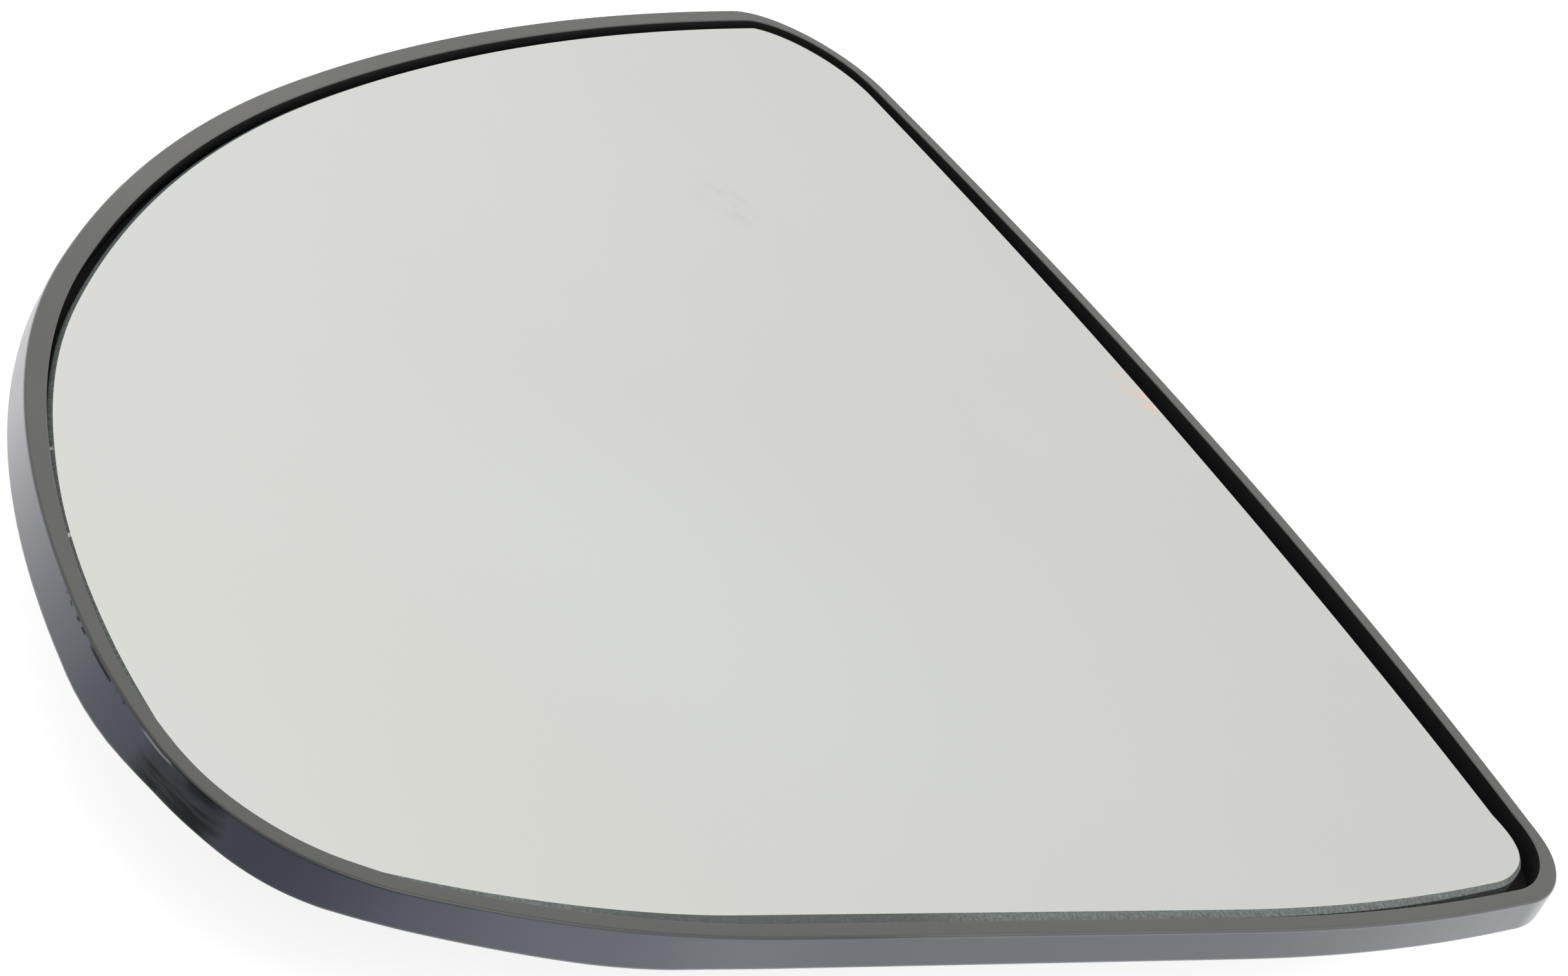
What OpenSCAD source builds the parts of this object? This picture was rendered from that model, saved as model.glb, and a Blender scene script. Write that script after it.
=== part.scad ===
// Door mirror glass on its moulded carrier, driver's side, seen face up.
// +Z points out of the mirror, +X towards the car and +Y up the mirror.
// The origin is on the axis of the snap ring, in the plane of its mouth.
// The rim is walked anticlockwise as a chain of arcs that each run on tangent into the next,
// from the straight bottom edge round to its other end. An arc is its radius and its turn.

/* [Rim outline] */
// Length of the straight bottom edge, which sets how wide the whole part is
bottom_l = 63.2; // [55:0.1:75]
// Radius of the slow rise at the inboard end of the bottom edge
toe_r = 281.1; // [250:0.1:310]
// Turn of that rise, in degrees
toe_angle = 8.4; // [7:0.1:10]
// Radius of the lower inboard corner
lower_corner_r = 16.7; // [12:0.1:22]
// Turn of the lower inboard corner, in degrees
lower_corner_angle = 61.1; // [58:0.1:64]
// Turn of the bowed inboard side, in degrees
inboard_angle = 14.6; // [13:0.1:16]
// Radius of the upper inboard corner
upper_corner_r = 10.2; // [10:0.1:14]
// Turn of the upper inboard corner, in degrees
upper_corner_angle = 104.8; // [102:0.1:108]
// Turn of the top edge next to that corner, in degrees
top_angle = 13.4; // [12:0.1:15]
// Radius of the crown, between the top edge and the shoulder
crown_r = 230.4; // [205:0.1:250]
// Turn of the crown, in degrees
crown_angle = 16.1; // [14:0.1:18]
// Radius of the shoulder, which falls away to the outboard end
shoulder_r = 112.4; // [100:0.1:125]
// Turn of the shoulder, in degrees
shoulder_angle = 34.7; // [32:0.1:37]
// Radius of the tight outboard end
outboard_r = 15.1; // [12:0.1:20]
// Turn of the outboard end, in degrees
outboard_angle = 89.2; // [86:0.1:93]
// Radius of the heel, between the outboard end and the bottom edge
heel_r = 113.8; // [90:0.1:140]
// Centre of the outboard end from the ring axis, along X
outboard_x = -87.8; // [-92:0.2:-84]
// Centre of the outboard end from the ring axis, along Y
outboard_y = -38.5; // [-42:0.5:-35]

/* [Rim section] */
// Width of the flat lip round the glass
lip_w = 1.7; // [1.3:0.1:2.2]
// Height of the outer wall, lip to lower edge
wall_h = 3; // [2.7:0.1:3.4]
// Radius on the outer edge of the lip
lip_edge_r = 0.25; // [0.1:0.05:0.4]
// Radius on the inner edge of the lip
lip_inner_r = 0.15; // [0.05:0.05:0.3]
// Radius on the lower edge of the wall
foot_r = 0.35; // [0.1:0.05:0.5]
// Width of the ledge that the edge of the glass lies on
ledge_w = 4.5; // [4:0.1:5]
// Width of the dished band of the back, along the foot of the wall
dish_w = 7.4; // [6.6:0.2:8]
// Thickness of the back plate
plate_t = 1.8; // [1.5:0.1:2.2]

/* [Glass] */
// Thickness of the glass
glass_t = 1.8; // [1.6:0.1:2]
// Depth of the glass below the lip
recess = 0.4; // [0.2:0.1:0.6]
// Clearance between the glass and the wall round it
glass_gap = 0.9; // [0.8:0.1:1.1]
// Width of the ground bevel along the edge of the glass
bevel = 0.3; // [0.1:0.05:0.4]
// Turn that the straighter inboard edge of the glass gives to its lower corner, in degrees
lower_trim_angle = 0.8; // [0.5:0.1:1.1]
// Turn that the straighter inboard edge of the glass gives to its upper corner, in degrees
upper_trim_angle = 2.4; // [2:0.1:2.8]
// Turn that the straighter shoulder of the glass gives to its crown, in degrees
crown_trim_angle = 0.7; // [0.5:0.1:0.7]
// Turn that the straighter shoulder of the glass gives to its outboard end, in degrees
outboard_trim_angle = 0.4; // [0.4:0.1:0.6]
// How far off centre the glass lies in its pocket, along X
glass_shift_x = -0.5; // [-0.6:0.1:-0.4]
// How far off centre the glass lies in its pocket, along Y
glass_shift_y = 0.3; // [0.1:0.1:0.4]

/* [Adhesive pad] */
// Thickness of the foam pad that holds the glass
pad_t = 0.6; // [0.4:0.1:1]
// Clearance round the pad in its recess
pad_gap = 0.4; // [0.2:0.1:0.8]

/* [Snap ring] */
// Radius of the bore that goes over the actuator
ring_bore_r = 20; // [18:0.5:22]
// Wall of the ring
ring_wall = 1.8; // [1.5:0.1:2.4]
// Height of the ring, back plate to mouth
ring_h = 9; // [7:0.5:11]
// Number of snap fingers in the ring
fingers = 4; // [3:1:4]
// Angle across one finger, in degrees
finger_angle = 14; // [12:1:15]
// Width of the slit on each side of a finger
slit_w = 1; // [0.8:0.1:1.2]
// Thickness of a finger behind its barb
finger_t = 1.2; // [1:0.05:1.3]
// How far a finger stops short of the mouth of the ring
finger_short = 0.8; // [0.5:0.1:1.5]
// Height of a barb, tip to shoulder
barb_h = 2; // [1.5:0.1:2.5]
// Height of the flat on the point of a barb
barb_flat = 0.6; // [0.3:0.1:0.9]
// Radial width of the mould window above a barb
window_w = 2.4; // [2:0.1:3]

/* [Rod sockets] */
// Radius of the hollow for the ball end of an actuator rod
ball_r = 3.8; // [3.4:0.1:4]
// How far the centre of the ball lies inside the narrowest part of its mouth
ball_grip = 1.7; // [1.2:0.1:1.8]
// Height of the flared lead-in at the mouth of a socket
lead_h = 0.6; // [0.4:0.1:0.8]
// Wall of a socket
socket_wall = 1.5; // [1.2:0.1:1.8]
// Height of a socket from the back plate
socket_h = 6.5; // [6.2:0.1:7.5]
// Distance from the ring axis to a socket
socket_reach = 32; // [30:0.5:33]
// Width of the crossed slits in a socket
socket_slit = 1; // [0.8:0.1:1.4]

/* [Ribs] */
// Number of radial ribs
ribs = 12; // [8:1:16]
// Thickness of a rib
rib_t = 1.4; // [1.2:0.1:1.8]
// Height of a radial rib where it leaves the ring
rib_root_h = 4; // [3:0.1:5]
// Fall of a radial rib along its run, in degrees
rib_fall = 2; // [1:0.1:2]
// Radius of the round rib outside the ring
hoop_r = 42; // [40:1:45]
// Height of the round rib
hoop_h = 1.8; // [1.2:0.1:2.4]

/* [Hidden] */

// Places of five of the arcs in the walk
TOE = 0;
INBOARD = 2;
TOP = 4;
OUTBOARD = 7;
HEEL = 8;

// The bottom edge faces straight down, and a full walk turns once
START = -90;
FULL_TURN = 360;
// Length of the chords that stand in for an arc in a flat outline
CHORD = 2;
// Depth by which solids of one piece run into each other
BITE = 0.5;
// Share of the straight that each of the two runs that make it covers
STRAIGHT_SHARE = 0.6;
// Steps in a rounded edge of a section
ROUND_STEPS = 3;
$fn = 96;

heel_angle = FULL_TURN - toe_angle - lower_corner_angle - inboard_angle - upper_corner_angle
    - top_angle - crown_angle - shoulder_angle - outboard_angle;

// Heights above the mouth of the ring
z_back = ring_h;
z_floor = z_back + plate_t;
z_seat = z_floor + pad_t;
z_face = z_seat + glass_t;
z_top = z_face + recess;
z_wall = z_top - wall_h;

// Distances inward from the outer edge of the rim
ledge_in = lip_w + ledge_w;
dish_in = foot_r + dish_w;
flange_in = dish_in + 2 * BITE;
pad_in = ledge_in + pad_gap;
glass_in = lip_w + glass_gap;

ring_r = ring_bore_r + ring_wall;
finger_r = ring_r - finger_t;

function heading(a) = [cos(a), sin(a)];
function sum_to(list, count) = count == 0 ? 0 : list[count - 1] + sum_to(list, count - 1);

// Way from the first end of each arc to its second, for a radius of 1
function arc_chords(angles) = [for (i = [0:len(angles) - 1])
    heading(START + sum_to(angles, i + 1)) - heading(START + sum_to(angles, i))];

// Sum of the chords of a walk, with the arcs listed in `without` left out
function chord_sum(radii, chords, without) =
    let (ways = [for (i = [0:len(radii) - 1]) len(search(i, without)) > 0 ? [0, 0] : radii[i] * chords[i]])
    [for (axis = [0:1]) sum_to([for (w = ways) w[axis]], len(ways))];

// Radius of the top arc that closes the walk when its straight has this length
function top_radius(radii, angles, straight) =
    let (
        chords = arc_chords(angles),
        open = chord_sum(radii, chords, [INBOARD, TOP]) + [straight, 0]
    )
    -cross(chords[INBOARD], open) / cross(chords[INBOARD], chords[TOP]);

// A closed chain of arcs and one straight. The inboard radius and the length of the straight
// are the two sizes that close it. The outboard arc is centred on `anchor`.
// It gives the arcs as [centre, radius, first angle, turn], and the length of the straight.
function close_chain(radii, angles, anchor) =
    let (
        last = len(angles) - 1,
        chords = arc_chords(angles),
        open = chord_sum(radii, chords, [INBOARD]),
        side_r = -open[1] / chords[INBOARD][1],
        straight = -open[0] - side_r * chords[INBOARD][0],
        r = [for (i = [0:last]) i == INBOARD ? side_r : radii[i]],
        first = [for (i = [0:last]) START + sum_to(angles, i)],
        step = [for (i = [0:last]) i == 0 ? [0, 0] : (r[i - 1] - r[i]) * heading(first[i])],
        walk = [for (i = [0:last]) [for (axis = [0:1]) sum_to([for (s = step) s[axis]], i + 1)]]
    )
    [[for (i = [0:last]) [walk[i] - walk[OUTBOARD] + anchor, r[i], first[i], angles[i]]], straight];

rim_angles = [toe_angle, lower_corner_angle, inboard_angle, upper_corner_angle, top_angle, crown_angle,
    shoulder_angle, outboard_angle, heel_angle];
set_radii = [toe_r, lower_corner_r, 0, upper_corner_r, 0, crown_r, shoulder_r, outboard_r, heel_r];
top_r = top_radius(set_radii, rim_angles, bottom_l);
rim_radii = [for (i = [0:len(set_radii) - 1]) i == TOP ? top_r : set_radii[i]];
rim_chain = close_chain(rim_radii, rim_angles, [outboard_x, outboard_y]);

// The glass is cut to the rim's arcs, a little straighter on its inboard side and its shoulder
glass_radii = [for (r = rim_radii) r - glass_in];
glass_trims = [0, lower_trim_angle, -lower_trim_angle - upper_trim_angle, upper_trim_angle, 0,
    crown_trim_angle, -crown_trim_angle - outboard_trim_angle, outboard_trim_angle, 0];
glass_chain = close_chain(glass_radii, rim_angles + glass_trims,
    [outboard_x + glass_shift_x, outboard_y + glass_shift_y]);

// Points of a chain, drawn in by `inset`
function outline(chain, inset) = concat(
    [for (arc = chain[0])
        let (r = arc[1] - inset, parts = max(2, ceil(r * arc[3] * PI / 180 / CHORD)))
        for (i = [0:parts - 1])
            arc[0] + r * heading(arc[2] + arc[3] * i / parts)],
    [chain[0][HEEL][0] + (chain[0][HEEL][1] - inset) * heading(START)]
);

// A move made in whole millimetres, then thousandths, then the rest, so that arcs meet exactly
module place(v) {
    whole = [for (c = v) round(c)];
    thousandths = [for (c = v - whole) round(c * 1000) / 1000];
    translate(whole)
        translate(thousandths)
            translate(v - whole - thousandths)
                children();
}

// A section swept round a chain. A point of the section is [distance in from the edge, height].
module sweep(chain, section) {
    for (arc = chain[0])
        place([arc[0][0], arc[0][1], 0])
            rotate_extrude(angle = arc[3], start = arc[2], $fn = max($fn, 2 * ceil(PI * arc[1] / CHORD)))
                place([arc[1], 0])
                    polygon([for (p = section) [-p[0], p[1]]]);
    // The straight is drawn from both its ends, and the two runs overlap
    run = STRAIGHT_SHARE * chain[1];
    for (end = [TOE, HEEL])
        place([chain[0][end][0][0], chain[0][end][0][1] - chain[0][end][1], 0])
            rotate([90, 0, 90])
                translate([0, 0, end == TOE ? -run : 0])
                    linear_extrude(run)
                        polygon(section);
}

module prism(chain, inset, z, height) {
    translate([0, 0, z])
        linear_extrude(height)
            polygon(outline(chain, inset));
}

// Quarter round of radius r between two straight edges of a section
function round_off(centre, r, from) =
    [for (i = [0:ROUND_STEPS]) centre + r * heading(from + FULL_TURN / 4 * i / ROUND_STEPS)];

rim_section = concat(
    round_off([foot_r, z_wall + foot_r], foot_r, 180),
    [[dish_in, z_back], [flange_in, z_back], [flange_in, z_floor], [ledge_in, z_floor]],
    [[ledge_in, z_seat], [lip_w, z_seat]],
    round_off([lip_w - lip_inner_r, z_top - lip_inner_r], lip_inner_r, 0),
    round_off([lip_edge_r, z_top - lip_edge_r], lip_edge_r, 90)
);

module rim() {
    sweep(rim_chain, rim_section);
    prism(rim_chain, dish_in + BITE, z_back, plate_t);
}

module ring_sector(section, angle) {
    rotate([0, 0, -angle / 2])
        rotate_extrude(angle = angle)
            polygon(section);
}

module at_fingers() {
    for (i = [0:fingers - 1])
        rotate([0, 0, (i + 0.5) * FULL_TURN / fingers])
            children();
}

module snap_ring() {
    slit_angle = slit_w / ring_bore_r * 180 / PI;
    difference() {
        cylinder(r = ring_r, h = z_back + BITE);
        translate([0, 0, -BITE])
            cylinder(r = ring_bore_r, h = z_back + 3 * BITE);
        at_fingers()
            ring_sector([[ring_bore_r - BITE, -BITE], [ring_r + BITE, -BITE],
                [ring_r + BITE, z_back], [ring_bore_r - BITE, z_back]], finger_angle + 2 * slit_angle);
    }
    barb_z = finger_short + barb_h;
    at_fingers()
        ring_sector([[ring_r, finger_short], [ring_r, z_back + BITE], [finger_r, z_back + BITE],
            [finger_r, barb_z + (finger_r - ring_bore_r)], [ring_bore_r, barb_z],
            [ring_bore_r, barb_z - barb_flat], [finger_r, finger_short]], finger_angle);
}

module windows() {
    at_fingers()
        ring_sector([[finger_r - window_w, z_back - BITE], [finger_r, z_back - BITE],
            [finger_r, z_floor + BITE], [finger_r - window_w, z_floor + BITE]], finger_angle);
}

// One socket towards the bottom of the mirror and one outboard, as the two rods push
module at_sockets() {
    for (a = [180, 270])
        rotate([0, 0, a])
            translate([socket_reach, 0, 0])
                children();
}

module socket_body() {
    translate([0, 0, z_back - socket_h])
        cylinder(r = ball_r + socket_wall, h = socket_h + BITE);
}

module socket_hollow() {
    mouth_r = sqrt(ball_r * ball_r - ball_grip * ball_grip);
    slit_l = 2 * (ball_r + socket_wall + BITE);
    translate([0, 0, z_back - socket_h]) {
        translate([0, 0, lead_h + ball_grip])
            sphere(r = ball_r);
        translate([0, 0, -BITE])
            cylinder(r1 = mouth_r + lead_h + BITE, r2 = mouth_r - BITE, h = lead_h + 2 * BITE);
        for (a = [45, 135])
            rotate([0, 0, a])
                translate([-slit_l / 2, -socket_slit / 2, -BITE])
                    cube([slit_l, socket_slit, socket_h]);
    }
}

module radial_rib() {
    start = ring_r - BITE;
    run = rib_root_h / tan(rib_fall);
    rotate([90, 0, 0])
        translate([0, 0, -rib_t / 2])
            linear_extrude(rib_t)
                polygon([[start, z_back - rib_root_h], [start, z_back + BITE],
                    [start + run, z_back + BITE], [start + run, z_back]]);
}

module back_ribs() {
    intersection() {
        prism(rim_chain, dish_in + BITE, z_back - rib_root_h, rib_root_h + BITE);
        union() {
            for (i = [0:ribs - 1])
                rotate([0, 0, i * FULL_TURN / ribs])
                    radial_rib();
            difference() {
                translate([0, 0, z_back - hoop_h])
                    cylinder(r = hoop_r + rib_t, h = hoop_h + BITE);
                translate([0, 0, z_back - hoop_h - BITE])
                    cylinder(r = hoop_r, h = hoop_h + 3 * BITE);
            }
        }
    }
}

module carrier() {
    color("#3c3d40")
        difference() {
            union() {
                rim();
                snap_ring();
                back_ribs();
                at_sockets()
                    socket_body();
            }
            windows();
            at_sockets()
                socket_hollow();
        }
}

module mirror_glass() {
    band = upper_corner_r - glass_in - 2 * BITE;
    color("#d3d6d0")
        union() {
            sweep(glass_chain, [[0, z_seat + bevel], [bevel, z_seat], [band, z_seat],
                [band, z_face], [bevel, z_face], [0, z_face - bevel]]);
            prism(glass_chain, band - BITE, z_seat, glass_t);
        }
}

module adhesive_pad() {
    band = upper_corner_r - 2 * BITE;
    color("#1c1c1c")
        union() {
            sweep(rim_chain, [[pad_in, z_floor], [band, z_floor], [band, z_seat], [pad_in, z_seat]]);
            prism(rim_chain, band - BITE, z_floor, pad_t);
        }
}

carrier();
mirror_glass();
adhesive_pad();
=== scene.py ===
import math

import bmesh
import bpy
from mathutils import Matrix, Vector


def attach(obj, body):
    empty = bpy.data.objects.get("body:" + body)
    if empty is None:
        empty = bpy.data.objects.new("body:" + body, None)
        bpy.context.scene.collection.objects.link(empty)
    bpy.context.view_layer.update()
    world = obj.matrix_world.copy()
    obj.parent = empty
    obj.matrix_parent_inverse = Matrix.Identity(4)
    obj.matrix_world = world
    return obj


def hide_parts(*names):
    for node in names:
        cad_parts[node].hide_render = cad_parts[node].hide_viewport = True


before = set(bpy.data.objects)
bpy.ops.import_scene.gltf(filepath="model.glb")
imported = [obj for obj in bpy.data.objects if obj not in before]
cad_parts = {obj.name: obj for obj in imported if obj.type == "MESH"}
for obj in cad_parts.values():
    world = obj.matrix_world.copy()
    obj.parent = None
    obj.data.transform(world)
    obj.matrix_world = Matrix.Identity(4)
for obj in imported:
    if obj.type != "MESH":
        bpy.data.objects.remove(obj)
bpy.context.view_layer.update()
MM = 0.001

# Outlines in millimetres and degrees, walked anticlockwise from the bottom edge as arcs that run
# on tangent. The inboard arc's radius closes the walk, and the outboard arc is centred on the
# anchor. The rim has two more arcs round its outboard end than the frame's, and the pane's outline
# is the frame's. The reaches below then move both a little.
START = -90
INBOARD = 2
RIM_RADII = [297.2, 16.8, None, 10.2, 367.7, 230.4, 122.3, 49.9, 13.7, 27.1, 120.0]
RIM_ANGLES = [8.2, 61.3, 14.6, 104.8, 13.4, 15, 28.9, 15.3, 70.1, 11, 17.4]
RIM_OUTBOARD = 8
RIM_ANCHOR = Vector((-88.95, -38.7))
PANE_RADII = [278.5, 14.1, None, 7.6, 365.35, 227.8, 109.8, 12.5, 111.2]
PANE_ANGLES = [8.4, 61.9, 11.4, 107.2, 13.4, 16.8, 33.6, 89.6, 17.7]
PANE_OUTBOARD = 7
PANE_ANCHOR = Vector((-88.3, -38.2))

# How far parts of the rim and the pane stand out past their outlines, as (heading from the centre
# of the arc, distance). Corner is the rim's lower inboard corner. Foot and lip are the two ends of
# its outer wall, and inner is the inner edge of its lip. Face and edge are the pane's mirrored face
# and its ground edge, which stand out alike at the sides.
CORNER_REACH = [(-82, 0), (-60, 0.3), (-36, 0.55), (-20.5, 0.3), (-6, 0.07), (0, 0.02), (20, 0)]
FOOT_REACH = CORNER_REACH + [
    (134, 0), (143, 0.22), (150, 0.47), (158, 0.82), (162, 0.92), (166, 0.83), (168, 0.65),
    (170, 0.38), (171.5, 0.16), (174, 0.06), (178, -0.03), (184, -0.02), (190, 0.05), (196, 0.16),
    (202, 0.35), (208, 0.58), (214, 0.76), (220, 0.87), (226, 0.9), (232, 0.85), (238, 0.77),
    (244, 0.62), (250, 0.54), (256, 0.65), (261, 0.74), (264, 0.52), (266, 0.22), (268, 0.04),
    (270, 0)]
LIP_REACH = CORNER_REACH + [
    (126, 0), (136, 0.15), (160, 0.15), (174, 0.28), (180, 0.22), (190, 0.35), (205, 0.5),
    (226, 0.52), (240, 0.48), (250, 0.52), (261, 0.25), (266, 0.05), (270, 0)]
INNER_REACH = CORNER_REACH + [
    (144, 0), (156, 0.2), (164, 0.2), (172, 0.05), (180, 0), (244, 0), (253, 0.28), (262, 0.14),
    (270, 0)]
PANE_SIDES = [
    (-42, 1.0), (-32, 0.9), (-20, 0.35), (-15, 0.1), (-12, 0.15), (-8, 0.05), (0, 0), (142, 0),
    (150, 0.2), (158, 0.28), (164, 0.12), (172, 0), (244, 0), (252, 0.15)]
FACE_REACH = [(-90, 0.1), (-81.6, 0.08), (-62, 0.4)] + PANE_SIDES + [(262, 0), (270, 0.1)]
EDGE_REACH = ([(-90, 0.42), (-85, 0.34), (-81.6, 0.2), (-62, 0.45)] + PANE_SIDES
              + [(262, 0.12), (270, 0.42)])

# Section of the rim and bevel of the pane
LIP_W = 1.7
LIP_EDGE_R = 0.25
LIP_INNER_R = 0.15
FOOT_R = 0.35
LEDGE_IN = 6.2
DISH_IN = 7.75
BEVEL = 0.3

# Heights above the mouth of the ring
Z_BACK = 9
Z_WALL = 10.6
Z_FLOOR = 10.8
Z_SEAT = 11.4
Z_FACE = 13.2
Z_TOP = 13.6

# The back of the carrier. A bite is how far a piece runs into what it joins or cuts.
BITE = 0.5
RING_BORE_R = 20
RING_R = 21.8
FINGERS = 4
FINGER_ANGLE = 14
SLIT_W = 1
FINGER_R = 20.6
FINGER_SHORT = 0.8
BARB_H = 2
BARB_FLAT = 0.6
WINDOW_W = 2.4
BALL_R = 3.8
BALL_GRIP = 1.7
LEAD_H = 0.6
SOCKET_WALL = 1.5
SOCKET_H = 6.5
SOCKET_REACH = 32
SOCKET_ANGLES = (180, 270)
SOCKET_SLIT = 1
SOCKET_SLIT_ANGLES = (45, 135)
RIBS = 12
RIB_T = 1.4
RIB_ROOT_H = 4
RIB_FALL = 2
HOOP_R = 42
HOOP_H = 1.8

# Fineness of the visible meshes. Angles are in degrees, and only the merging distance is in metres.
STEP_ANGLE = 2.5
STEP_LENGTH = 2.0
ROUND_STEPS = 5
BALL_STEPS = 24
SOFTEN = 0.15
SOFTEN_STEPS = 2
SOFTEN_ANGLE = 35
CARRIER_SHARP = 32
PANE_SHARP = 20
MERGE = 1e-7

# Places of the materials on the moulding and on the pane, and how far up a face looks that takes
# the lip's or the mirror's
LIP = 0
WALL = 1
POCKET = 2
FACE = 0
EDGE = 1
LOOKS_UP = 0.5
LIES_FLAT = 0.99

# The camera, from the point of the lip's plane that it looks at. Angles in degrees.
VIEW_TARGET = Vector((1.87, -1.59, 13.6)) * MM
VIEW_DISTANCE = 620.55 * MM
VIEW_HEADING = 57.326
VIEW_ELEVATION = 20.0
VIEW_ROLL = 31.5
SENSOR_W = 36.0
FOCAL_PX = 12000.0
PHOTO_W = 2429.0
CLIP_START = 0.01

# The world lights the object softly, and is white where it is seen. What the glass mirrors of it
# is paler on one side, like the wall of a room with a window. The floor glows only where it is
# seen, so it keeps the object's shadow.
WORLD_LIGHT = 0.8
ROOM_DIM = 0.80
ROOM_EDGE = 0.15
ROOM_LEFT = 0.93
ROOM_DOWN = 0.37
FLOOR_GLOW = 0.8
FLOOR_SIZE = 6.0
FLOOR_COLOUR = (0.75, 0.75, 0.75, 1)
WHITE = (1, 1, 1, 1)
KEY_PLACE = (0.6, -0.8, 1.2)
KEY_SIZE = 1.2
KEY_POWER = 6.0

# Marks, wear and painted light and shade, as (place, distance to which the mark is full, distance
# at which it ends), all in millimetres, and its strength where that isn't 1
PAINTED_LIGHT_TOP = ((-35, 62, 13.6), 12, 62)
RUBBED_BOTTOM = ((30, -58, 13.5), 62, 80)
PAINTED_REFLECTION_END = ((-84, 14, 12), 12, 42)
PAINTED_REFLECTION_FOOT = ((-71, -57.3, 12), 8, 25, 0.42)
TORN_FLASH = ((-101.5, -28.5, 13.4), 8, 12)
SCRAPE = ((-102.5, -36.8, 13.4), 1.4, 2.3)
DARK_CORNER = ((-101.8, -43.5, 12), 2, 15, 0.42)
DARK_MIDDLE = ((-102.7, -40.2, 12), 2.4, 6.6)
HAZE_AND_REFLECTION = ((-22, -20, 13.2), 6, 40)
SMUDGE = ((39.9, 42.2, 13.2), 1.0, 6.5)
LOST_SILVER = ((74.3, 17.0, 13.2), 2.6, 4.6)
SHADED_EDGE = ((-53, -57.5, 13), 14, 27, 0.7)
PALE_CHIPS = [((-83.3, -1.2, 13.1), 0.15, 0.4), ((-90.4, -12.1, 13.1), 0.15, 0.4),
              ((-88.0, -51.7, 13.1), 0.15, 0.4)]

# Bands of wear, as the heights in millimetres where one starts, is full, starts to fade and ends
RUBBED_BAND = (13.26, 13.38, 13.56, 13.6)
FLASH_BAND = (13.22, 13.28, 13.40, 13.46)

# Noises, as (scale, detail, roughness)
CLOUDS = (60.0, 3.0, 0.5)
LIP_GRAIN = (4200.0, 2.0, 0.5)
WALL_GRAIN = (5200.0, 2.0, 0.5)
TEARS = (420.0, 3.0, 0.6)
SMEARS = (160.0, 3.0, 0.6)
POCKET_GRAIN = (900.0, 2.0, 0.5)
SILVER_CLOUDS = (18.0, 3.0, 0.5)
SMUDGE_CLOUDS = (300.0, 2.0, 0.5)
MOTTLE = (900.0, 3.0, 0.7)
EDGE_CHIPS = (3200.0, 3.0, 0.7)
FOAM_CELLS = (2500.0, 2.0, 0.5)

# Parts of a noise's range over which its pattern goes from off to on
CLOUD_RANGE = (0.3, 0.7)
TEAR_RANGE = (0.50, 0.56)
SMEAR_RANGE = (0.38, 0.6)
SMUDGE_RANGE = (0.4, 0.7)
MOTTLE_RANGE = (0.42, 0.58)
CHIP_RANGE = (0.3, 0.75)

# How the streaks in the dark corner and in the lost silver are drawn out, and at what angle
SMEAR_STRETCH = (1.0, 1.0, 9.0)
SMEAR_STRENGTH = (0.65, 1.0)
MOTTLE_STRETCH = (0.25, 1.0, 1.0)
MOTTLE_ANGLE = math.radians(15)

# Surfaces, as linear colours. A pair is the two ends of a mottled colour or of a roughness.
# Painted reflection tint: the lip and the wall are one plastic, the lip tinted warm, the wall blue
LIP_COLOURS = ((0.019, 0.019, 0.017, 1), (0.027, 0.027, 0.024, 1))
LIP_ROUGHNESS = (0.30, 0.36)
WALL_COLOURS = ((0.017, 0.019, 0.026, 1), (0.023, 0.025, 0.033, 1))
WALL_ROUGHNESS = (0.20, 0.27)
PAINTED_LIGHT_COLOUR = (0.064, 0.062, 0.057, 1)
RUBBED_LIP_COLOUR = (0.085, 0.084, 0.082, 1)
RUBBED_WALL_COLOUR = (0.085, 0.084, 0.088, 1)
PAINTED_REFLECTION_COLOUR = (0.14, 0.134, 0.152, 1)
SCRAPE_COLOUR = (0.15, 0.15, 0.155, 1)
PAINTED_SHADE_AND_FLASH_COLOUR = (0.004, 0.005, 0.007, 1)
# Painted shade: the pocket is the carrier's plastic made darker
POCKET_COLOURS = ((0.006, 0.006, 0.006, 1), (0.012, 0.012, 0.012, 1))
SILVER_COLOURS = ((0.686, 0.694, 0.646, 1), (0.700, 0.709, 0.668, 1))
HAZE_AND_REFLECTION_COLOUR = (0.700, 0.714, 0.694, 1)
SMUDGE_COLOUR = (0.65, 0.66, 0.64, 1)
LOST_FACE_COLOUR = (0.86, 0.66, 0.56, 1)
EDGE_COLOURS = ((0.07, 0.09, 0.08, 1), (0.2, 0.235, 0.22, 1))
SHADED_EDGE_COLOUR = (0.04, 0.045, 0.04, 1)
CHIP_COLOUR = (0.85, 0.87, 0.85, 1)
LOST_EDGE_COLOUR = (0.75, 0.48, 0.36, 1)
FOAM_COLOURS = ((0.02, 0.02, 0.02, 1), (0.05, 0.05, 0.05, 1))
IOR = 1.5


def add_object(name, data):
    piece = bpy.data.objects.new(name, data)
    bpy.context.scene.collection.objects.link(piece)
    return piece


def view_axes():
    """The picture's right and up and the way the camera looks, in the world."""
    heading = math.radians(VIEW_HEADING)
    elevation = math.radians(VIEW_ELEVATION)
    level = math.cos(elevation)
    forward = Vector((math.sin(heading) * level, math.cos(heading) * level, -math.sin(elevation)))
    right = forward.cross(Vector((0, 0, 1))).normalized()
    up = right.cross(forward)
    roll = Matrix.Rotation(-math.radians(VIEW_ROLL), 3, forward)
    return roll @ right, roll @ up, forward


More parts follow.
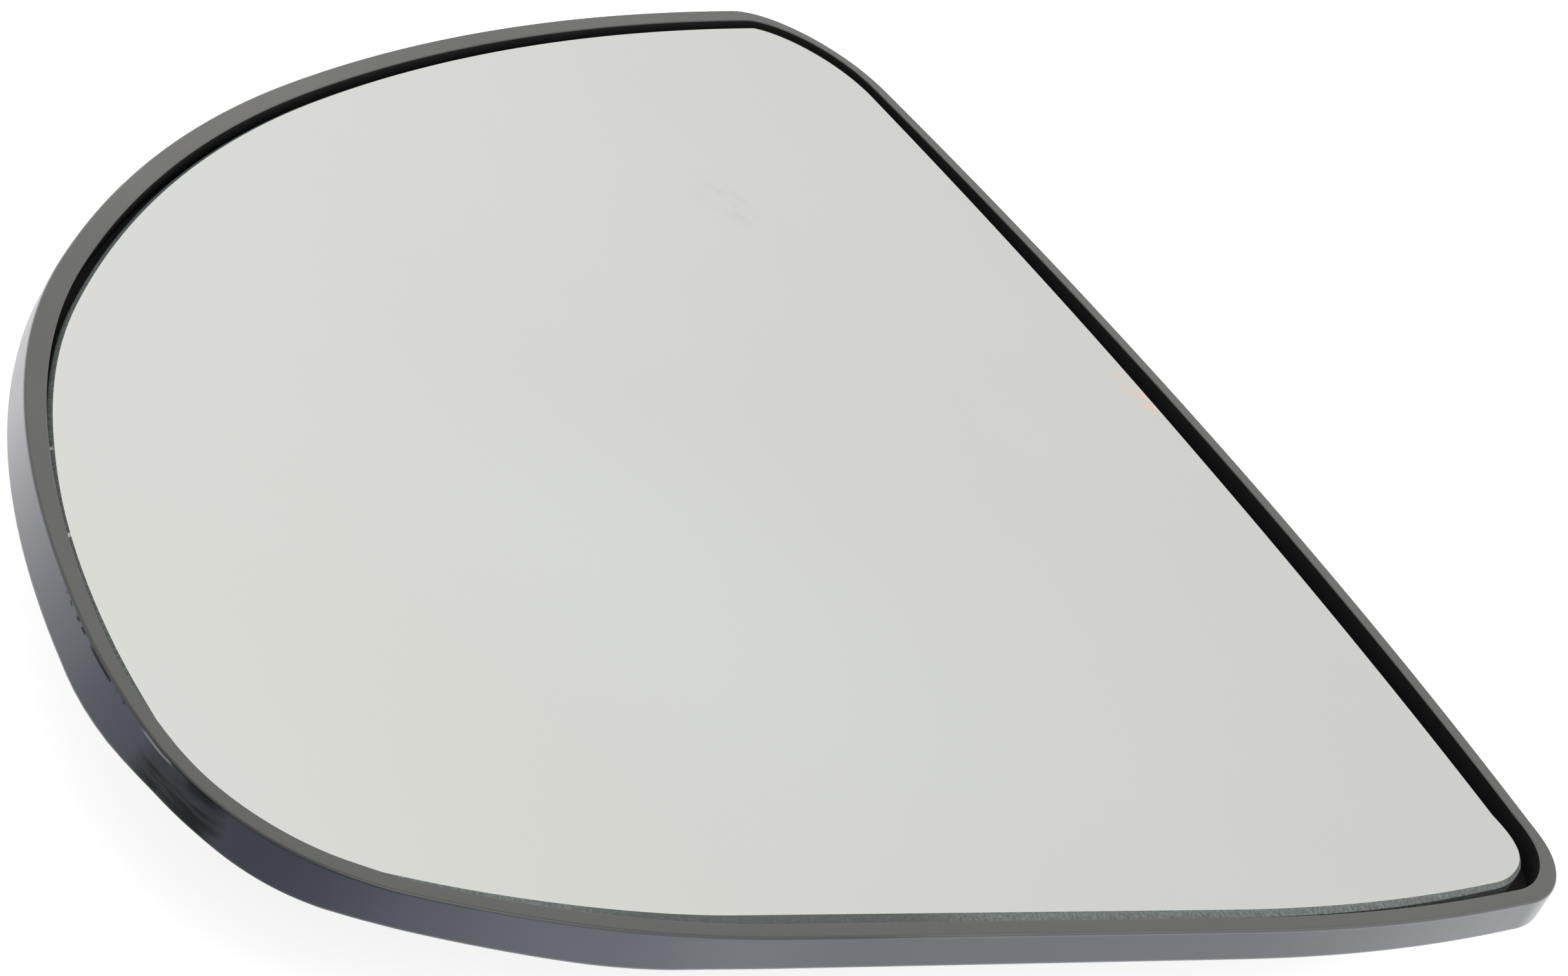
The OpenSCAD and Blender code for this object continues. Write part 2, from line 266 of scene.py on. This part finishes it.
def set_camera():
    right, up, forward = view_axes()
    data = bpy.data.cameras.new("camera")
    data.sensor_fit = "HORIZONTAL"
    data.sensor_width = SENSOR_W
    data.lens = FOCAL_PX / PHOTO_W * SENSOR_W
    data.clip_start = CLIP_START
    camera = add_object("camera", data)
    axes = Matrix((right, up, -forward)).transposed().to_4x4()
    camera.matrix_world = Matrix.Translation(VIEW_TARGET - forward * VIEW_DISTANCE) @ axes
    bpy.context.scene.camera = camera


def toward(degrees):
    angle = math.radians(degrees)
    return Vector((math.cos(angle), math.sin(angle)))


def close_chain(radii, angles, held, anchor):
    """Arcs as (centre, radius, first angle, turn), with the held arc centred on the anchor."""
    bounds = [START + sum(angles[:i]) for i in range(len(angles) + 1)]
    rises = [toward(b).y - toward(a).y for a, b in zip(bounds, bounds[1:])]
    radii = list(radii)
    radii[INBOARD] = -sum(r * rise for r, rise in zip(radii, rises) if r) / rises[INBOARD]
    centres = [Vector((0, 0))]
    for i in range(1, len(radii)):
        centres.append(centres[-1] + (radii[i - 1] - radii[i]) * toward(bounds[i]))
    move = anchor - centres[held]
    return [(c + move, r, first, turn) for c, r, first, turn in zip(centres, radii, bounds, angles)]


def stations(chain):
    """Places round a chain as (centre, radius, heading), with the straight at the end."""
    found = []
    for centre, radius, first, turn in chain:
        arc = math.radians(turn) * radius
        parts = max(math.ceil(turn / STEP_ANGLE), math.ceil(arc / STEP_LENGTH))
        found += [(centre, radius, first + turn * i / parts) for i in range(parts)]
    down = toward(START)
    ends = [chain[i][0] + chain[i][1] * down for i in (-1, 0)]
    parts = math.ceil((ends[1] - ends[0]).length / STEP_LENGTH)
    return found + [(ends[0].lerp(ends[1], i / parts), 0, START + 360) for i in range(parts)]


def along(table, angle):
    """Height at an angle of the smooth curve through a table's points, flat past its ends."""
    if angle <= table[0][0]:
        return table[0][1]
    if angle >= table[-1][0]:
        return table[-1][1]
    i = max(i for i, point in enumerate(table) if point[0] <= angle)
    points = [table[max(0, i - 1)], table[i], table[i + 1], table[min(len(table) - 1, i + 2)]]
    (a, low), (b, high) = points[1:3]
    rise = [(q[1] - p[1]) / (q[0] - p[0]) * (b - a) for p, q in zip(points, points[2:])]
    t = (angle - a) / (b - a)
    return (low * (1 + 2 * t) * (1 - t) ** 2 + rise[0] * t * (1 - t) ** 2
            + high * t * t * (3 - 2 * t) + rise[1] * t * t * (t - 1))


def rim_bend(d, z, angle):
    """How far out a point of the rim's section is moved at a heading."""
    if d <= FOOT_R:
        top = Z_TOP - LIP_EDGE_R
        fall = min(1, max(0, (top - z) / (top - Z_WALL - FOOT_R)))
        return along(LIP_REACH, angle) * (1 - fall) + along(FOOT_REACH, angle) * fall
    return along(INNER_REACH, angle) if d < LEDGE_IN else 0


def pane_bend(d, z, angle):
    """How far out a point of the pane's section is moved at a heading."""
    return along(FACE_REACH if d else EDGE_REACH, angle)


def quarter(centre, radius, first):
    """Points of a quarter round in a section, as (distance in, height)."""
    points = []
    for i in range(ROUND_STEPS + 1):
        way = toward(first + 90 * i / ROUND_STEPS)
        points.append((centre[0] + radius * way.x, centre[1] + radius * way.y))
    return points


def merge_points(bm):
    """Points in one place become one, and the faces look outward."""
    bmesh.ops.remove_doubles(bm, verts=bm.verts, dist=MERGE)
    bmesh.ops.recalc_face_normals(bm, faces=bm.faces)


def finish_mesh(name, bm):
    merge_points(bm)
    mesh = bpy.data.meshes.new(name)
    bm.to_mesh(mesh)
    bm.free()
    return add_object(name, mesh)


def rows_to_mesh(name, rows, closed, soften=0.0):
    """A solid from rows of points in millimetres. It is closed round, or capped at both ends."""
    bm = bmesh.new()
    rows = [[bm.verts.new(Vector(p) * MM) for p in row] for row in rows]
    pairs = list(zip(rows, rows[1:] + rows[:1])) if closed else list(zip(rows, rows[1:]))
    for a, b in pairs:
        for j in range(len(a)):
            k = (j + 1) % len(a)
            if a[j].co != a[k].co or b[j].co != b[k].co:
                bm.faces.new((a[j], b[j], b[k], a[k]))
    if not closed:
        bm.faces.new(rows[0])
        bm.faces.new(reversed(rows[-1]))
    if soften:
        merge_points(bm)
        limit = math.radians(SOFTEN_ANGLE)
        sharp = [e for e in bm.edges if len(e.link_faces) == 2 and e.calc_face_angle() > limit]
        bmesh.ops.bevel(bm, geom=sharp, offset=soften * MM, segments=SOFTEN_STEPS, profile=0.5,
                        affect="EDGES", clamp_overlap=True)
    return finish_mesh(name, bm)


def swept(name, chain, path, bend=None):
    """A path of (distance in, height) carried round a chain and capped flat at both its ends."""
    bm = bmesh.new()
    rows = []
    for centre, radius, angle in stations(chain):
        row = []
        for d, z in path:
            out = radius - d + (bend(d, z, angle) if bend else 0)
            row.append(bm.verts.new(Vector((*(centre + toward(angle) * out), z)) * MM))
        rows.append(row)
    for a, b in zip(rows, rows[1:] + rows[:1]):
        for j in range(len(path) - 1):
            bm.faces.new((a[j], b[j], b[j + 1], a[j + 1]))
    bm.faces.new([row[0] for row in rows])
    bm.faces.new([row[-1] for row in reversed(rows)])
    return finish_mesh(name, bm)


def slab(name, chain, inset, low, high):
    return swept(name, chain, [(inset, high), (inset, low)])


def revolved(name, section, first=0.0, turn=360.0, soften=0.0):
    """A section of (radius, height) turned about the ring's axis."""
    parts = math.ceil(turn / STEP_ANGLE)
    closed = turn == 360
    rows = []
    for i in range(parts if closed else parts + 1):
        way = toward(first + turn * i / parts)
        rows.append([(way.x * r, way.y * r, z) for r, z in section])
    return rows_to_mesh(name, rows, closed, soften)


def block(name, low, high, angle, move):
    """A box from its lowest and highest corners, turned about the ring's axis and then moved."""
    turn = Matrix.Rotation(math.radians(angle), 3, "Z")
    shift = Vector((*move, 0))
    rows = []
    for z in (low[2], high[2]):
        corners = [(low[0], low[1]), (high[0], low[1]), (high[0], high[1]), (low[0], high[1])]
        rows.append([turn @ Vector((x, y, z)) + shift for x, y in corners])
    return rows_to_mesh(name, rows, False)


def moved(piece, move):
    piece.data.transform(Matrix.Translation(Vector((*move, 0)) * MM))
    return piece


def combine(base, tools, operation):
    """The base with the tools added, cut away or kept in common. The tools are used up."""
    for tool in tools:
        change = base.modifiers.new(operation, "BOOLEAN")
        change.operation = operation
        change.solver = "MANIFOLD"
        change.object = tool
        graph = bpy.context.evaluated_depsgraph_get()
        mesh = bpy.data.meshes.new_from_object(base.evaluated_get(graph))
        base.modifiers.clear()
        old = base.data
        base.data = mesh
        bpy.data.meshes.remove(old)
        used = tool.data
        bpy.data.objects.remove(tool)
        bpy.data.meshes.remove(used)
    return base


def finger_middles():
    return [(i + 0.5) * 360 / FINGERS for i in range(FINGERS)]


def rim_path():
    """The rim's section, from the floor of the pad recess over the lip to the back."""
    return ([(DISH_IN, Z_FLOOR), (LEDGE_IN, Z_FLOOR), (LEDGE_IN, Z_SEAT), (LIP_W, Z_SEAT)]
            + quarter((LIP_W - LIP_INNER_R, Z_TOP - LIP_INNER_R), LIP_INNER_R, 0)
            + quarter((LIP_EDGE_R, Z_TOP - LIP_EDGE_R), LIP_EDGE_R, 90)
            + quarter((FOOT_R, Z_WALL + FOOT_R), FOOT_R, 180)
            + [(DISH_IN, Z_BACK)])


def snap_ring():
    """The ring for the actuator and its barbed fingers, which stand between slits."""
    ring = revolved("ring", [(RING_BORE_R, 0), (RING_R, 0), (RING_R, Z_BACK + BITE),
                             (RING_BORE_R, Z_BACK + BITE)], soften=SOFTEN)
    slit = math.degrees(SLIT_W / RING_BORE_R)
    gap = [(RING_BORE_R - BITE, -BITE), (RING_R + BITE, -BITE), (RING_R + BITE, Z_BACK),
           (RING_BORE_R - BITE, Z_BACK)]
    span = FINGER_ANGLE + 2 * slit
    gaps = [revolved("gap", gap, a - span / 2, span) for a in finger_middles()]
    combine(ring, gaps, "DIFFERENCE")
    barb_z = FINGER_SHORT + BARB_H
    finger = [(RING_R, FINGER_SHORT), (RING_R, Z_BACK + BITE), (FINGER_R, Z_BACK + BITE),
              (FINGER_R, barb_z + FINGER_R - RING_BORE_R), (RING_BORE_R, barb_z),
              (RING_BORE_R, barb_z - BARB_FLAT), (FINGER_R, FINGER_SHORT)]
    fingers = [revolved("finger", finger, a - FINGER_ANGLE / 2, FINGER_ANGLE, SOFTEN)
               for a in finger_middles()]
    return [ring] + fingers


def windows():
    """The openings in the plate over the barbs, through which the mould forms them."""
    inner = FINGER_R - WINDOW_W
    low = Z_BACK - BITE
    high = Z_FLOOR + BITE
    hole = [(inner, low), (FINGER_R, low), (FINGER_R, high), (inner, high)]
    return [revolved("window", hole, a - FINGER_ANGLE / 2, FINGER_ANGLE) for a in finger_middles()]


def ribs(chain):
    """The falling ribs and the hoop rib, kept within the back of the rim."""
    start = RING_R - BITE
    run = RIB_ROOT_H / math.tan(math.radians(RIB_FALL))
    side = [(start, Z_BACK - RIB_ROOT_H), (start, Z_BACK + BITE), (start + run, Z_BACK + BITE),
            (start + run, Z_BACK)]
    pieces = []
    for i in range(RIBS):
        turn = Matrix.Rotation(math.radians(360 * i / RIBS), 3, "Z")
        rows = [[turn @ Vector((x, y, z)) for x, z in side] for y in (-RIB_T / 2, RIB_T / 2)]
        pieces.append(rows_to_mesh("rib", rows, False, SOFTEN))
    hoop_low = Z_BACK - HOOP_H
    hoop = [(HOOP_R, hoop_low), (HOOP_R + RIB_T, hoop_low), (HOOP_R + RIB_T, Z_BACK + BITE),
            (HOOP_R, Z_BACK + BITE)]
    pieces.append(revolved("hoop", hoop, soften=SOFTEN))
    low = Z_BACK - RIB_ROOT_H - BITE
    return [combine(p, [slab("limit", chain, DISH_IN + BITE, low, Z_BACK + BITE)], "INTERSECT")
            for p in pieces]


def sockets():
    """The bodies of the two rod sockets, and the hollows that are cut in them."""
    bodies = []
    hollows = []
    mouth = Z_BACK - SOCKET_H
    mouth_r = math.sqrt(BALL_R ** 2 - BALL_GRIP ** 2)
    outer_r = BALL_R + SOCKET_WALL
    body = [(0, mouth), (outer_r, mouth), (outer_r, Z_BACK + BITE), (0, Z_BACK + BITE)]
    middle = mouth + LEAD_H + BALL_GRIP
    low = -math.degrees(math.acos(mouth_r / BALL_R))
    ball = [toward(low + (90 - low) * i / BALL_STEPS) * BALL_R for i in range(BALL_STEPS)]
    hollow = ([(0, mouth - BITE), (mouth_r + LEAD_H + BITE, mouth - BITE)]
              + [(p.x, middle + p.y) for p in ball] + [(0, middle + BALL_R)])
    reach = outer_r + BITE
    for angle in SOCKET_ANGLES:
        place = toward(angle) * SOCKET_REACH
        bodies.append(moved(revolved("socket", body, soften=SOFTEN), place))
        hollows.append(moved(revolved("hollow", hollow), place))
        for turn in SOCKET_SLIT_ANGLES:
            hollows.append(block("slit", (-reach, -SOCKET_SLIT / 2, mouth - BITE),
                                 (reach, SOCKET_SLIT / 2, Z_BACK - BITE), turn + angle, place))
    return bodies, hollows


def shade(piece, sharp_angle):
    """Smooth shading that large faces lead, with edges sharper than the angle kept sharp."""
    piece.data.shade_smooth()
    piece.data.set_sharp_from_angle(angle=math.radians(sharp_angle))
    weigh = piece.modifiers.new("weigh", "WEIGHTED_NORMAL")
    weigh.keep_sharp = True
    weigh.weight = 80


def carrier(chain):
    piece = swept("carrier_moulding", chain, rim_path(), rim_bend)
    bodies, hollows = sockets()
    combine(piece, snap_ring() + ribs(chain) + bodies, "UNION")
    combine(piece, windows() + hollows, "DIFFERENCE")
    shade(piece, CARRIER_SHARP)
    return piece


def glass(chain):
    path = [(BEVEL, Z_FACE), (0, Z_FACE - BEVEL), (0, Z_SEAT + BEVEL), (BEVEL, Z_SEAT)]
    piece = swept("mirror_pane", chain, path, pane_bend)
    shade(piece, PANE_SHARP)
    return piece


def rim_slot(place, normal):
    """Which of the carrier's materials a face takes."""
    upward = normal.z > LOOKS_UP
    if upward and place.z > Z_TOP - LIP_EDGE_R:
        return LIP
    inward = upward or normal.xy.dot(place.xy) < 0
    return POCKET if inward and place.z >= Z_FLOOR - BITE else WALL


class Nodes:
    """Short calls for building one node tree."""

    def __init__(self, tree):
        self.tree = tree
        tree.nodes.clear()

    def give(self, socket, value):
        """Links a socket to another one, or sets its value."""
        if isinstance(value, bpy.types.NodeSocket):
            self.tree.links.new(value, socket)
        else:
            socket.default_value = value

    def add(self, kind, sockets=None, **settings):
        node = self.tree.nodes.new(kind)
        for name, value in settings.items():
            setattr(node, name, value)
        for name, value in (sockets or {}).items():
            self.give(node.inputs[name], value)
        return node

    def place(self):
        return self.add("ShaderNodeTexCoord").outputs["Object"]

    def math(self, operation, a, b, c=0.0):
        return self.add("ShaderNodeMath", {0: a, 1: b, 2: c}, operation=operation).outputs[0]

    def ramp(self, value, low, high, out_low=0.0, out_high=1.0):
        node = self.add("ShaderNodeMapRange", {"Value": value, "From Min": low, "From Max": high,
                                               "To Min": out_low, "To Max": out_high},
                        interpolation_type="SMOOTHSTEP")
        return node.outputs["Result"]

    def mix(self, factor, a, b):
        """A colour from a to b. Its sockets share names with those of other kinds of value."""
        node = self.add("ShaderNodeMix", {"Factor": factor}, data_type="RGBA")
        self.give(node.inputs[6], a)
        self.give(node.inputs[7], b)
        return node.outputs[2]

    def noise(self, vector, scale, detail, roughness):
        node = self.add("ShaderNodeTexNoise", {"Vector": vector, "Scale": scale, "Detail": detail,
                                               "Roughness": roughness})
        return node.outputs["Fac"]

    def stretch(self, vector, scale, angle=0.0):
        node = self.add("ShaderNodeMapping", {"Vector": vector, "Rotation": (0, 0, angle),
                                              "Scale": scale})
        return node.outputs["Vector"]

    def bump(self, height, strength, depth):
        """A normal from a height, with the depth in millimetres."""
        node = self.add("ShaderNodeBump", {"Strength": strength, "Distance": depth * MM,
                                           "Height": height})
        return node.outputs["Normal"]

    def principled(self, sockets):
        return self.add("ShaderNodeBsdfPrincipled", sockets).outputs[0]

    def surface(self, shader, kind="Material"):
        self.add("ShaderNodeOutput" + kind, {"Surface": shader})


def new_material(name):
    material = bpy.data.materials.new(name)
    material.use_nodes = True
    return material, Nodes(material.node_tree)


def near(n, place, spot, full, end, strength=1.0):
    """The strength of a mark: all of it round its spot, and none at the end of its reach."""
    gap = n.add("ShaderNodeVectorMath", {0: place, 1: Vector(spot) * MM}, operation="DISTANCE")
    return n.ramp(gap.outputs["Value"], full * MM, end * MM, strength, 0.0)


def band(n, place, heights):
    """1 within a band of heights, and 0 outside it."""
    height = n.add("ShaderNodeSeparateXYZ", {0: place}).outputs["Z"]
    start, full, fade, end = [h * MM for h in heights]
    return n.math("MULTIPLY", n.ramp(height, start, full), n.ramp(height, fade, end, 1.0, 0.0))


def rubbed_corner(n, place):
    """The rubbed corner between the lip and the wall, along the bottom."""
    return n.math("MULTIPLY", band(n, place, RUBBED_BAND), near(n, place, *RUBBED_BOTTOM))


def lip_plastic():
    material, n = new_material("carrier_lip")
    place = n.place()
    cloud = n.noise(place, *CLOUDS)
    colour = n.mix(n.ramp(cloud, *CLOUD_RANGE), *LIP_COLOURS)
    # Painted light: the lip is painted paler along the top of the mirror
    colour = n.mix(near(n, place, *PAINTED_LIGHT_TOP), colour, PAINTED_LIGHT_COLOUR)
    colour = n.mix(rubbed_corner(n, place), colour, RUBBED_LIP_COLOUR)
    # Painted reflection tint: the lip's reflections are tinted warm
    n.surface(n.principled({
        "Base Color": colour, "Roughness": n.ramp(cloud, *CLOUD_RANGE, *LIP_ROUGHNESS), "IOR": IOR,
        "Specular IOR Level": 0.65, "Specular Tint": (1.0, 1.0, 0.91, 1),
        "Normal": n.bump(n.noise(place, *LIP_GRAIN), 0.10, 0.04)}))
    return material


def wall_plastic():
    material, n = new_material("carrier_wall")
    place = n.place()
    cloud = n.noise(place, *CLOUDS)
    # Painted reflection: the outboard end and a spot by the foot are pale, for a bright reflection
    pale = n.math("MAXIMUM", near(n, place, *PAINTED_REFLECTION_END), near(n, place, *PAINTED_REFLECTION_FOOT))
    colour = n.mix(n.ramp(cloud, *CLOUD_RANGE), *WALL_COLOURS)
    colour = n.mix(pale, colour, PAINTED_REFLECTION_COLOUR)
    colour = n.mix(rubbed_corner(n, place), colour, RUBBED_WALL_COLOUR)
    # A torn flash line runs along the top of the wall there, dark with one pale scrape
    edge = band(n, place, FLASH_BAND)
    tears = n.ramp(n.noise(place, *TEARS), *TEAR_RANGE)
    flash = n.math("MULTIPLY", n.math("MULTIPLY", tears, edge), near(n, place, *TORN_FLASH))
    scrape = n.math("MULTIPLY", edge, near(n, place, *SCRAPE))
    colour = n.mix(scrape, colour, SCRAPE_COLOUR)
    # Painted shade: the outboard corner is painted dark and streaked, as its dark reflection
    streaks = n.noise(n.stretch(place, SMEAR_STRETCH), *SMEARS)
    smear = n.ramp(streaks, *SMEAR_RANGE, *SMEAR_STRENGTH)
    middle = n.math("MULTIPLY", near(n, place, *DARK_MIDDLE), smear)
    corner = n.math("MAXIMUM", near(n, place, *DARK_CORNER), middle)
    dark = n.math("MULTIPLY", n.math("MAXIMUM", corner, flash), n.math("SUBTRACT", 1.0, scrape))
    # Painted reflection tint: the wall's colour and reflections are tinted blue
    satin = n.principled({
        "Base Color": colour, "Roughness": n.ramp(cloud, *CLOUD_RANGE, *WALL_ROUGHNESS), "IOR": IOR,
        "Specular IOR Level": 0.66, "Specular Tint": (0.76, 0.83, 1.0, 1), "Sheen Weight": 0.6,
        "Sheen Roughness": 0.25, "Sheen Tint": (0.96, 0.94, 1.0, 1),
        "Normal": n.bump(n.noise(place, *WALL_GRAIN), 0.08, 0.04)})
    # A darker, duller copy of the plastic: painted shade in the corner, and the torn flash
    painted_shade_and_flash = n.principled({"Base Color": PAINTED_SHADE_AND_FLASH_COLOUR, "Roughness": 0.3, "IOR": IOR,
                         "Specular IOR Level": 0.13, "Specular Tint": (0.78, 0.88, 1.0, 1)})
    n.surface(n.add("ShaderNodeMixShader", {0: dark, 1: satin, 2: painted_shade_and_flash}).outputs[0])
    return material


def pocket_plastic():
    """Painted shade: the inward wall and ledge, dark for the shade in the gap round the glass."""
    material, n = new_material("carrier_pocket")
    colour = n.mix(n.noise(n.place(), *POCKET_GRAIN), *POCKET_COLOURS)
    n.surface(n.principled({"Base Color": colour, "Roughness": 0.7, "IOR": IOR,
                            "Specular IOR Level": 0.12}))
    return material


def lost_silver(n, place):
    """The mottled patch of lost silver at the inboard edge of the glass."""
    mottle = n.noise(n.stretch(place, MOTTLE_STRETCH, MOTTLE_ANGLE), *MOTTLE)
    return n.math("MULTIPLY", near(n, place, *LOST_SILVER), n.ramp(mottle, *MOTTLE_RANGE))


def silver():
    material, n = new_material("silvered_glass")
    place = n.place()
    cloud = n.ramp(n.noise(place, *SILVER_CLOUDS), *CLOUD_RANGE)
    smudge = n.math("MULTIPLY", near(n, place, *SMUDGE),
                    n.ramp(n.noise(place, *SMUDGE_CLOUDS), *SMUDGE_RANGE))
    colour = n.mix(cloud, *SILVER_COLOURS)
    # A paler spot on the mirror, partly a haze of dust and partly a painted brighter reflection
    colour = n.mix(near(n, place, *HAZE_AND_REFLECTION), colour, HAZE_AND_REFLECTION_COLOUR)
    colour = n.mix(smudge, colour, SMUDGE_COLOUR)
    colour = n.mix(lost_silver(n, place), colour, LOST_FACE_COLOUR)
    n.surface(n.principled({"Base Color": colour, "Metallic": 1.0, "Roughness": 0.03}))
    return material


def ground_edge():
    material, n = new_material("ground_edge")
    place = n.place()
    chips = n.noise(place, *EDGE_CHIPS)
    colour = n.mix(n.ramp(chips, *CHIP_RANGE), *EDGE_COLOURS)
    colour = n.mix(near(n, place, *SHADED_EDGE), colour, SHADED_EDGE_COLOUR)
    for chip in PALE_CHIPS:
        colour = n.mix(near(n, place, *chip), colour, CHIP_COLOUR)
    colour = n.mix(lost_silver(n, place), colour, LOST_EDGE_COLOUR)
    n.surface(n.principled({"Base Color": colour, "Roughness": 0.5, "IOR": IOR,
                            "Normal": n.bump(chips, 0.3, 0.03)}))
    return material


def foam():
    material, n = new_material("foam")
    cells = n.noise(n.place(), *FOAM_CELLS)
    n.surface(n.principled({"Base Color": n.mix(cells, *FOAM_COLOURS), "Roughness": 0.9,
                            "Normal": n.bump(cells, 0.4, 0.1)}))
    return material


def room_side():
    """The way in which the room brightens, which the pane mirrors as the picture's lower left."""
    right, up, _ = view_axes()
    way = -right * ROOM_LEFT - up * ROOM_DOWN
    return Vector((way.x, way.y, -way.z))


def set_world():
    world = bpy.data.worlds.new("world")
    bpy.context.scene.world = world
    world.use_nodes = True
    n = Nodes(world.node_tree)
    rays = n.add("ShaderNodeLightPath").outputs
    way = n.add("ShaderNodeTexCoord").outputs["Generated"]
    side = n.add("ShaderNodeVectorMath", {0: way, 1: room_side()}, operation="DOT_PRODUCT")
    room = n.ramp(side.outputs["Value"], -ROOM_EDGE, ROOM_EDGE, ROOM_DIM, 1.0)
    mirrored = n.math("MAXIMUM", rays["Is Glossy Ray"], rays["Is Transmission Ray"])
    change = n.math("SUBTRACT", room, WORLD_LIGHT)
    strength = n.math("MULTIPLY_ADD", change, mirrored, WORLD_LIGHT)
    strength = n.math("MAXIMUM", strength, rays["Is Camera Ray"])
    sky = n.add("ShaderNodeBackground", {"Color": WHITE, "Strength": strength})
    n.surface(sky.outputs[0], "World")


def floor():
    half = FLOOR_SIZE / 2
    corners = [(-half, -half, 0), (half, -half, 0), (half, half, 0), (-half, half, 0)]
    mesh = bpy.data.meshes.new("floor")
    mesh.from_pydata(corners, [], [(0, 1, 2, 3)])
    piece = add_object("floor", mesh)
    material, n = new_material("floor_white")
    diffuse = n.add("ShaderNodeBsdfDiffuse", {"Color": FLOOR_COLOUR})
    rays = n.add("ShaderNodeLightPath").outputs
    seen = n.math("MAXIMUM", rays["Is Camera Ray"], rays["Is Glossy Ray"])
    seen = n.math("MAXIMUM", seen, rays["Is Transmission Ray"])
    strength = n.math("MULTIPLY", seen, FLOOR_GLOW)
    glow = n.add("ShaderNodeEmission", {"Color": WHITE, "Strength": strength})
    both = n.add("ShaderNodeAddShader", {0: diffuse.outputs[0], 1: glow.outputs[0]})
    n.surface(both.outputs[0])
    mesh.materials.append(material)


def lamp(name, place, size, power):
    """A round lamp that looks at the middle of the object's place."""
    data = bpy.data.lights.new(name, "AREA")
    data.shape = "DISK"
    data.size = size
    data.energy = power
    piece = add_object(name, data)
    piece.location = place
    piece.rotation_euler = (-Vector(place)).to_track_quat("-Z", "Y").to_euler()


def dress(node, material):
    """Gives a node that stays its better material."""
    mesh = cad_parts[node].data
    for i in range(len(mesh.materials)):
        mesh.materials[i] = material


def stand_for(piece, node):
    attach(piece, "root")
    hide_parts(node)


set_camera()
set_world()
floor()
lamp("key", KEY_PLACE, KEY_SIZE, KEY_POWER)

moulding = carrier(close_chain(RIM_RADII, RIM_ANGLES, RIM_OUTBOARD, RIM_ANCHOR))
moulding.data.materials.clear()
for material in (lip_plastic(), wall_plastic(), pocket_plastic()):
    moulding.data.materials.append(material)
for face in moulding.data.polygons:
    face.material_index = rim_slot(face.center / MM, face.normal)
stand_for(moulding, "carrier")

pane = glass(close_chain(PANE_RADII, PANE_ANGLES, PANE_OUTBOARD, PANE_ANCHOR))
for material in (silver(), ground_edge()):
    pane.data.materials.append(material)
for face in pane.data.polygons:
    face.material_index = FACE if face.normal.z > LIES_FLAT else EDGE
stand_for(pane, "mirror_glass")
dress("adhesive_pad", foam())

bpy.context.scene.view_settings.view_transform = "Standard"
